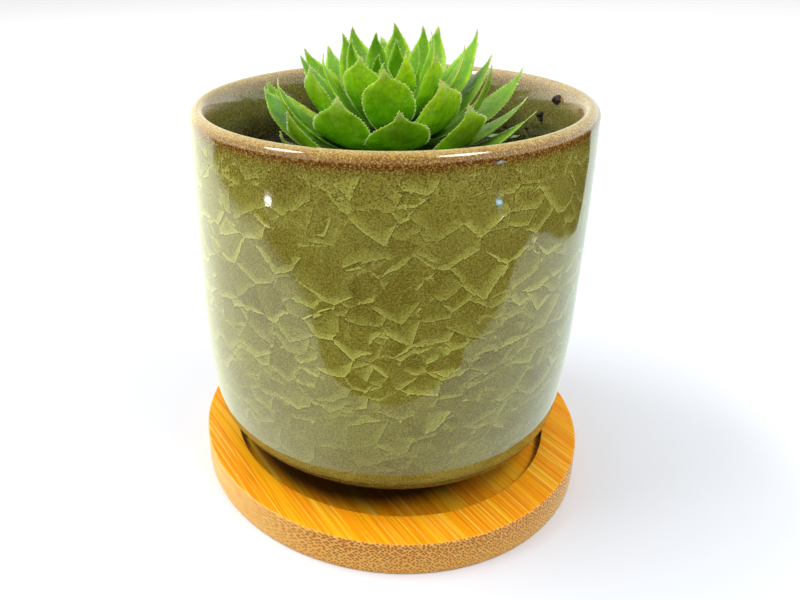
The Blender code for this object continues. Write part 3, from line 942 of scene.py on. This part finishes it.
def hair_material():
    """Pale, almost clear hairs."""
    made, graph = new_material("leaf_hair")
    graph.shade({"Base Color": graph.mix(graph.place().noise(400.0, 1.0), tint(236, 242, 196),
                                         tint(212, 228, 150)),
                 "Roughness": 0.5})
    return made


class HOUSELEEK_OT_leaves(Operator):
    """Grow every leaf of the rosette, with its margin's hairs"""

    bl_idname = "houseleek.leaves"
    bl_label = "Leaves"

    def execute(self, context):
        settings = context.scene.houseleek_leaf
        looks = [leaf_material(settings), hair_material()]
        rng = random.Random(LEAF_SEED)
        noise.seed_set(NOISE_SEED)      # noise_vector would start from the clock
        for number in range(LEAF_COUNT):
            form = leaf_form(number)
            tone = LEAF_TONE_AND_SHADE.get(number, 0.15 + 0.85 * rng.random())
            if number in DUSTY:
                tone = 0.0
            bm, paint = leaf_skin(form, settings.rings, settings.sides, tone)
            add_hairs(bm, paint, form, settings, rng, tone)
            to_world(bm, form["azimuth"])
            for vert in bm.verts:
                vert.co += noise.noise_vector(vert.co * 160.0) * SKIN_WOBBLE
            name = f"leaf_{number + 1:02d}"
            add_piece(bm, f"rosette_{name}", looks, [name])
        return {"FINISHED"}


def stem_material():
    """Brown-green bark of the short stem."""
    made, graph = new_material("stem_bark")
    place = graph.place()
    graph.shade({"Base Color": place.noise(500.0, 3.0).ramp((0.3, tint(92, 84, 40)),
                                                            (0.6, tint(124, 110, 58)),
                                                            (0.8, tint(90, 60, 36))),
                 "Roughness": 0.8,
                 "Normal": place.noise(900.0, 3.0).bump(0.4 * MM)})
    return made


def old_leaf_material():
    """Dull grey-green skin of the dropped leaf."""
    made, graph = new_material("old_leaf_skin")
    graph.shade({"Base Color": graph.mottled(graph.place(), tint(140, 160, 112), 300.0, 0.6,
                                             1800.0, 0.4),
                 "Roughness": 0.7})
    return made


class HOUSELEEK_OT_stem(Operator):
    """Make the short stem and the dropped leaf that lies beside it"""

    bl_idname = "houseleek.stem"
    bl_label = "Stem and old leaf"

    def execute(self, context):
        skin = [leaf_start(k / 14) for k in range(15)]
        profile = [(0.0, skin[0][1] + 0.2 * MM)]
        profile += [(r - STEM_SKIN, z) for r, z in skin]
        profile += [(STEM_NECK_R, STEM_NECK_Z), (STEM_NECK_R, STEM_ROOT_Z + 1.0 * MM),
                    (STEM_NECK_R * 0.6, STEM_ROOT_Z), (0.0, STEM_ROOT_Z)]
        bm = turned(profile, 40)
        to_world(bm, 0.0)
        add_piece(bm, "rosette_stem", [stem_material()], ["stem"])

        settings = context.scene.houseleek_leaf
        form = {"ends": ((0.0, 0.0), (OLD_LEAF_LENGTH, 0.6 * MM)), "width": 2.0 * MM,
                "thick": 0.45 * MM, "age": 1.0, "length": OLD_LEAF_LENGTH,
                "sweep": 0.0, "outline": LEAF_OUTLINE,
                "handles": ((0.3 * OLD_LEAF_LENGTH, 0.0), (0.7 * OLD_LEAF_LENGTH, 0.0)),
                **leaf_habit(LEAF_COUNT)}
        bm, _ = leaf_skin(form, settings.rings, settings.sides, 0.5)
        lay = Matrix.Translation(OLD_LEAF_PLACE) @ Matrix.Rotation(OLD_LEAF_TURN, 4, "Z")
        bmesh.ops.transform(bm, matrix=lay, verts=bm.verts)
        add_piece(bm, "dropped_leaf", [old_leaf_material()], ["old_leaf"])
        return {"FINISHED"}


# Saucer ---------------------------------------------------

def bamboo_material(settings):
    """Oiled bamboo: long fibres over the face, their cut ends round the edge, with painted shade
    on the recess wall and a painted shadow on the recess floor under the pot.
    """
    made, graph = new_material("bamboo")
    place = graph.place()
    turned_place = place.mapped(rotation=(0.0, 0.0, -settings.fibre))
    strands = turned_place.mapped(scale=(0.010, 1.0, 1.0))
    fine = strands.noise(2200.0, 3.0, 0.65)
    dash = turned_place.mapped(scale=(0.022, 1.0, 1.0)).noise(3600.0, 1.0)
    face = graph.coats(strands.noise(330.0).ramp((0.30, tint(252, 156, 4)),
                                                 (0.46, settings.wood),
                                                 (0.60, tint(255, 178, 10)),
                                                 (0.74, tint(255, 190, 40))),
                       (fine.step(0.51, 0.62, 0.0, 0.7), tint(232, 132, 4)),
                       (fine.step(0.45, 0.34, 0.0, 0.8), tint(255, 212, 92)),
                       (dash.step(0.60, 0.72, 0.0, 0.5), tint(186, 100, 8)))

    _, sideways, height = turned_place.parts()
    cut = graph.out("ShaderNodeCombineXYZ", {0: sideways + height, 1: height - sideways})
    bundles = (cut.cells(1300.0, scatter=0.62, dimensions="2D")["Distance"]
               + height.step(0.1 * SAUCER_H, 0.95 * SAUCER_H, 0.06, -0.06))
    dots = bundles.step(0.44, 0.24)
    normal = graph.out("ShaderNodeNewGeometry", {}, "Normal")
    *_, facing = normal.parts()
    wall = abs(facing).step(0.92, 0.70)
    along = (math.cos(settings.fibre), math.sin(settings.fibre), 0.0)
    cut_share = abs(normal.vector("DOT_PRODUCT", along)).step(0.12, 0.70)
    end_grain = graph.mix(place.noise(420.0, 3.0), tint(255, 204, 108), tint(255, 180, 82))
    flat_side = graph.mix(fine.step(0.4, 0.65), tint(255, 202, 112), tint(255, 180, 84))
    side = graph.coats(flat_side, (cut_share, end_grain),
                       (dots * (cut_share * 0.78), tint(168, 84, 32)))

    # Painted shadow on the recess floor, darkest round the pot's foot (the mask named damp), and
    # painted shade on the recess wall
    spread = place.vector("MULTIPLY", (1.0, 1.0, 0.0))
    inside = spread.vector("LENGTH").step(RECESS_R + 0.5 * MM, RECESS_R + 0.2 * MM)
    under = (spread.vector("SUBTRACT", POT_SHADOW_PLACE).vector("LENGTH")
             + strands.noise(900.0) * (2 * MM))
    damp = under.step(30.2 * MM, 25.8 * MM) * inside
    colour = graph.coats(face, (wall, side), (inside * wall * 0.8, tint(84, 42, 12)),
                         (damp * 0.92, tint(34, 12, 5)))
    relief = fine * 0.8 - dots * wall
    graph.shade({"Base Color": graph.mottled(place, colour, 60.0, 0.10, 2400.0, 0.12),
                 "Roughness": fine.step(0.3, 0.7, 0.38, 0.55),
                 "Specular IOR Level": 0.15,
                 "Normal": relief.bump(0.08 * MM, 0.6)})
    return made


class HOUSELEEK_OT_saucer(Operator):
    """Turn the bamboo saucer"""

    bl_idname = "houseleek.saucer"
    bl_label = "Saucer"

    def execute(self, context):
        settings = context.scene.houseleek_saucer
        edge = SAUCER_EDGE
        floor = SAUCER_H - RECESS_DEPTH
        profile = [(RECESS_R * k / 8, floor) for k in range(8)]
        profile += arc((RECESS_R - 0.4 * MM, floor + 0.4 * MM), 0.4 * MM, -90, 0, 4)
        profile += arc((RECESS_R + 0.3 * MM, SAUCER_H - 0.3 * MM), 0.3 * MM, 180, 90, 4)
        profile += [(RECESS_R + 3.0 * MM, SAUCER_H)]
        profile += arc((SAUCER_R - edge, SAUCER_H - edge), edge, 90, 0, 8)
        profile += arc((SAUCER_R - edge, edge), edge, 0, -90, 8)
        profile += [(SAUCER_R * 0.5, 0.0), (0.0, 0.0)]
        bm = turned(profile, settings.segments)
        add_piece(bm, "turned_saucer", [bamboo_material(settings)], ["bamboo_saucer"])
        return {"FINISHED"}


# Stage ----------------------------------------------------

WHITE = (1.0, 1.0, 1.0)
BLACK = (0.0, 0.0, 0.0)
CAMERA_PLACE = Vector((-4.33, -135.71, 107.32)) * MM
CAMERA_TURN = (5.98, -22.78, 1.753)      # yaw, pitch and roll in degrees
CAMERA_SHIFT = (0.1251, -0.0886)
TABLE_HALF = 3.0
DARK_OUTLINE = (         # edge of the unlit room as the glaze mirrors it, in millimetres
    (-900, 330), (-236, 77), (-192, 10), (-167, -50), (-131, -66), (-95, -84), (-69, -86),
    (-44, -80), (-16, -75), (5, -73), (30, -76), (58, -78), (94, -67), (145, -62),
    (176, -42), (171, -10), (160, 19), (149, 54), (145, 69), (151, 83), (168, 110),
    (191, 138), (210, 158), (1500, 1030), (1500, -1200), (-1200, -1200))
DARK_Z = 0.4 * MM
DARK_SOFT = 6.0 * MM
DARK_LEFT_SOFT = Vector((-0.81, -0.59, 0.0)) * 26 * MM
DARK_LEFT_X = -60.0 * MM     # left of it the edge is softer
WINDOWS = (              # name, place, size, colour and strength
    ("left_window", (-0.1886, -0.0946, 0.0028), (0.018, 0.0052), WHITE, 30.0),
    ("right_window", (0.1793, -0.1276, 0.0028), (0.014, 0.0036), tint(150, 205, 255), 22.0),
    ("left_softbox", (-0.406, -0.109, 0.530), (0.20, 0.22), WHITE, 20.0),
    ("right_softbox", (0.292, -0.196, 0.580), (0.24, 0.20), WHITE, 27.0))
LAMPS = (                # name, place, size and power
    ("left_lamp", (-0.45, 0.02, 0.73), (0.56, 0.22), 3.7),
    ("right_lamp", (0.38, -0.10, 0.76), (0.56, 0.20), 2.8))
LAMP_AIM = Vector((0.0, 0.0, 0.06))


def floor_material(settings):
    """Pale table top, white further out; light that it passes on is held back."""
    made, graph = new_material("table_top")
    place = graph.place()
    near = graph.mottled(place, settings.floor, 6.0, 0.02, 900.0, 0.015)
    pale = graph.mix(place.vector("LENGTH").step(0.20, 0.80), near, WHITE)
    again = graph.out("ShaderNodeLightPath", {}, "Is Diffuse Ray")
    graph.shade({"Base Color": graph.mix(again * 0.45, pale, (0.02, 0.02, 0.02)),
                 "Roughness": 0.8,
                 "Specular IOR Level": 0.1})
    return made


def add_lamp(name, place, size, power):
    """A soft lamp over the pot."""
    light = bpy.data.lights.new(name, "AREA")
    light.shape = "RECTANGLE"
    light.size, light.size_y = size
    light.energy = power
    lamp = bpy.data.objects.new(name, light)
    lamp.location = place
    lamp.rotation_euler = (LAMP_AIM - Vector(place)).to_track_quat("-Z", "Y").to_euler()
    lamp.visible_glossy = False      # the softbox cards are what glossy surfaces mirror
    bpy.context.scene.collection.objects.link(lamp)


def set_world(strength):
    """Soft light, stronger from the left; it is white to the camera and a pale room to
    what mirrors it."""
    world = bpy.data.worlds.new("studio")
    bpy.context.scene.world = world
    world.use_nodes = True
    graph = Graph(world.node_tree)
    rays = graph.outputs("ShaderNodeLightPath", {})
    aim = graph.place("Generated")
    side, _, up = aim.parts()
    front = aim.vector("DOT_PRODUCT", (0.0, -0.92, -0.38))
    rear = aim.vector("DOT_PRODUCT", (-0.42, 0.81, 0.41))
    soft = front.step(-0.3, 0.85, 1.34, 0.70) * strength * side.step(-0.8, 0.8, 1.38, 0.62)
    glow = (up.step(0.05, 0.45, 1.04, 0.45) + side.step(-0.1, -0.75, 0.0, 1.22)
            + side.step(0.2, 0.8, 0.0, 0.5) * up.step(-0.02, 0.10, 1.0, 2.5)
            + rear.step(0.62, 0.92, 0.0, 0.5))
    camera, mirrored = rays["Is Camera Ray"], rays["Is Glossy Ray"]
    seen = graph.math("MAXIMUM", camera, mirrored)
    hue = graph.mix(side.step(-0.6, 0.6), tint(248, 255, 238), tint(238, 254, 250))
    graph.fill(world.node_tree.nodes["Background"],
               {"Color": graph.mix(mirrored, WHITE, hue),
                "Strength": soft * (1.0 - seen) + (camera + mirrored * glow)})


def stage_card(bm, name, look):
    """Stand a card on the stage where only mirrored rays meet it."""
    card = new_object(bm, name, [look])
    for rays in ("camera", "diffuse", "shadow", "transmission"):
        setattr(card, f"visible_{rays}", False)


def dark_card():
    """The unlit room beyond the near edge of the table, seen only in the glaze."""
    bm = bmesh.new()
    middle = bm.faces.new([bm.verts.new((x * MM, y * MM, DARK_Z)) for x, y in DARK_OUTLINE])
    bmesh.ops.inset_individual(bm, faces=[middle], thickness=DARK_SOFT)
    for vert in middle.verts:
        if vert.co.x < DARK_LEFT_X:
            vert.co += DARK_LEFT_SOFT
    cover = bm.verts.layers.float.new("cover")
    for vert in middle.verts:
        vert[cover] = 1.0
    bmesh.ops.triangulate(bm, faces=bm.faces)
    made, graph = new_material("dark_room")
    graph.shade({"Base Color": (0.004, 0.004, 0.004), "Roughness": 1.0,
                 "Specular IOR Level": 0.0, "Alpha": graph.attribute("cover", "Fac")})
    stage_card(bm, "dark_room", made)


def window_card(name, place, size, colour, power):
    """A bright window that is only seen mirrored; it faces the pot."""
    bm = bmesh.new()
    aim = Vector((POT_X, POT_Y, min(place[2], POT_TOP))) - Vector(place)
    turn = aim.to_track_quat("Z", "Y").to_matrix().to_4x4()
    bmesh.ops.create_circle(bm, cap_ends=True, segments=14, radius=0.5)
    bmesh.ops.scale(bm, verts=bm.verts, vec=(*size, 1.0))
    bmesh.ops.transform(bm, matrix=Matrix.Translation(place) @ turn, verts=bm.verts)
    made, graph = new_material(name)
    graph.shade({"Base Color": BLACK, "Emission Color": colour, "Emission Strength": power})
    stage_card(bm, name, made)


def add_camera(scene, lens):
    """The camera that the render uses."""
    lens_data = bpy.data.cameras.new("camera")
    lens_data.lens = lens
    lens_data.sensor_width = 36.0
    lens_data.shift_x, lens_data.shift_y = CAMERA_SHIFT
    lens_data.clip_start = 0.01
    camera = bpy.data.objects.new("camera", lens_data)
    yaw, pitch, roll = (math.radians(a) for a in CAMERA_TURN)
    turn = (Matrix.Rotation(yaw, 3, "Z") @ Matrix.Rotation(pitch, 3, "X")
            @ Matrix.Rotation(roll, 3, "Y") @ Matrix.Rotation(math.radians(90), 3, "X"))
    camera.location = CAMERA_PLACE
    camera.rotation_euler = turn.to_euler()
    scene.collection.objects.link(camera)
    scene.camera = camera


class HOUSELEEK_OT_stage(Operator):
    """Set up the table, the soft lamps and the camera"""

    bl_idname = "houseleek.stage"
    bl_label = "Stage"

    def execute(self, context):
        settings = context.scene.houseleek_stage
        bm = bmesh.new()
        bmesh.ops.create_grid(bm, x_segments=8, y_segments=8, size=TABLE_HALF)
        floor = new_object(bm, "table_top", [floor_material(settings)])
        floor.visible_glossy = False
        dark_card()
        for window in WINDOWS:
            window_card(*window)
        set_world(settings.sky)
        for lamp in LAMPS:
            add_lamp(*lamp)
        add_camera(context.scene, settings.lens)
        context.scene.view_settings.view_transform = "Standard"
        return {"FINISHED"}


# Add-on ---------------------------------------------------

class HOUSELEEK_PT_panel(Panel):
    """Sidebar panel with every piece's settings and its button"""

    bl_label = "Potted Houseleek"
    bl_idname = "HOUSELEEK_PT_panel"
    bl_space_type = "VIEW_3D"
    bl_region_type = "UI"
    bl_category = "Houseleek"

    def draw(self, context):
        for attribute, settings, operators in SECTIONS:
            box = self.layout.box()
            for key in settings.__annotations__:
                box.prop(getattr(context.scene, attribute), key)
            for operator in operators:
                box.operator(operator.bl_idname)


SECTIONS = (             # the scene's settings, their class and the operators that use them
    ("houseleek_saucer", HouseleekSaucerSettings, (HOUSELEEK_OT_saucer,)),
    ("houseleek_pot", HouseleekPotSettings, (HOUSELEEK_OT_pot,)),
    ("houseleek_soil", HouseleekSoilSettings, (HOUSELEEK_OT_soil,)),
    ("houseleek_leaf", HouseleekLeafSettings, (HOUSELEEK_OT_stem, HOUSELEEK_OT_leaves)),
    ("houseleek_stage", HouseleekStageSettings, (HOUSELEEK_OT_stage,)),
)
CLASSES = [item for _, settings, operators in SECTIONS for item in (settings, *operators)]
CLASSES.append(HOUSELEEK_PT_panel)


def register():
    """Register the classes and hang the settings on the scene."""
    for item in CLASSES:
        bpy.utils.register_class(item)
    for attribute, settings, _ in SECTIONS:
        setattr(bpy.types.Scene, attribute, PointerProperty(type=settings))


def unregister():
    """Take the settings and the classes away again."""
    for attribute, *_ in SECTIONS:
        delattr(bpy.types.Scene, attribute)
    for item in reversed(CLASSES):
        bpy.utils.unregister_class(item)


def main():
    register()
    for *_, operators in SECTIONS:
        for operator in operators:
            module, name = operator.bl_idname.split(".")
            getattr(getattr(bpy.ops, module), name)()


if __name__ == "__main__":
    main()
